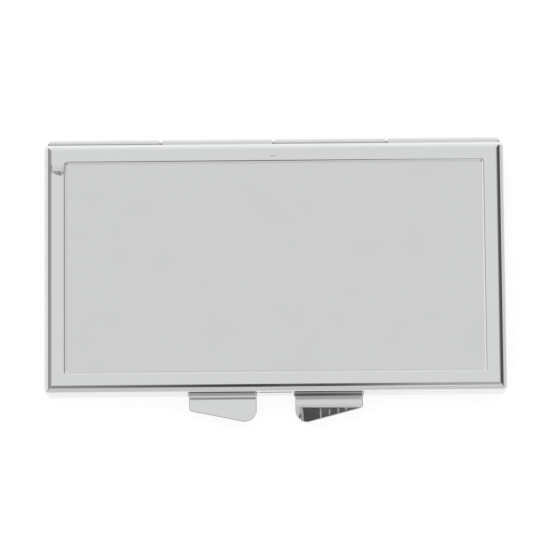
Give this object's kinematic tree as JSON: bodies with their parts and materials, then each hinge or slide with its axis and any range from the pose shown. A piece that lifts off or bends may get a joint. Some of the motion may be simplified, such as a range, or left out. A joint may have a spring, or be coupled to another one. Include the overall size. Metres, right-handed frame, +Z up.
{
  "type": "business card case",
  "caption": "Slim hinged sheet-metal case for business cards, with a sunk lid panel, thumb tabs at the front and a rolled hinge at the back.",
  "frame": {"origin": "middle of the base's flat underside, which rests on the table", "axes": "+X along the hinge towards the right-hand end, +Y from the thumb tabs to the hinge, +Z up through the lid"},
  "size_m": [0.101, 0.0632, 0.008],
  "materials": {
    "chromed_steel": "bright chrome plate on pressed steel sheet, polished, with light handling marks",
    "polished_aluminium": "polished, faintly duller and greener than the chrome round it",
    "spring_steel": "bright rolled spring steel with a fine grain",
    "plated_rivet_steel": "zinc plated, satin"
  },
  "bodies": {
    "base": {"base_shell": "chromed_steel", "base_thumb_tab": "chromed_steel", "hinge_pin": "spring_steel", "catch_spring": "spring_steel", "lifter_clamp_bar": "chromed_steel", "clamp_rivet_left": "plated_rivet_steel", "clamp_rivet_right": "plated_rivet_steel", "card_retainer_left": "chromed_steel", "card_retainer_right": "chromed_steel"},
    "lid": {"lid_shell": "chromed_steel", "lid_insert_plate": "polished_aluminium", "lid_thumb_tab": "chromed_steel"},
    "lifter": {"lifter_leaf": "spring_steel"}
  },
  "joints": [
    {"name": "lid_hinge", "type": "hinge", "parent": "base", "child": "lid", "pos_m": [0, 0.0281, 0.0053], "axis": [-1, 0, 0], "range_deg": [0, 180]},
    {"name": "lifter_flex", "type": "hinge", "parent": "base", "child": "lifter", "pos_m": [0, 0.02075, 0.00078], "axis": [1, 0, 0], "range_deg": [0, 3], "stiffness_Nm_per_rad": 1}
  ]
}
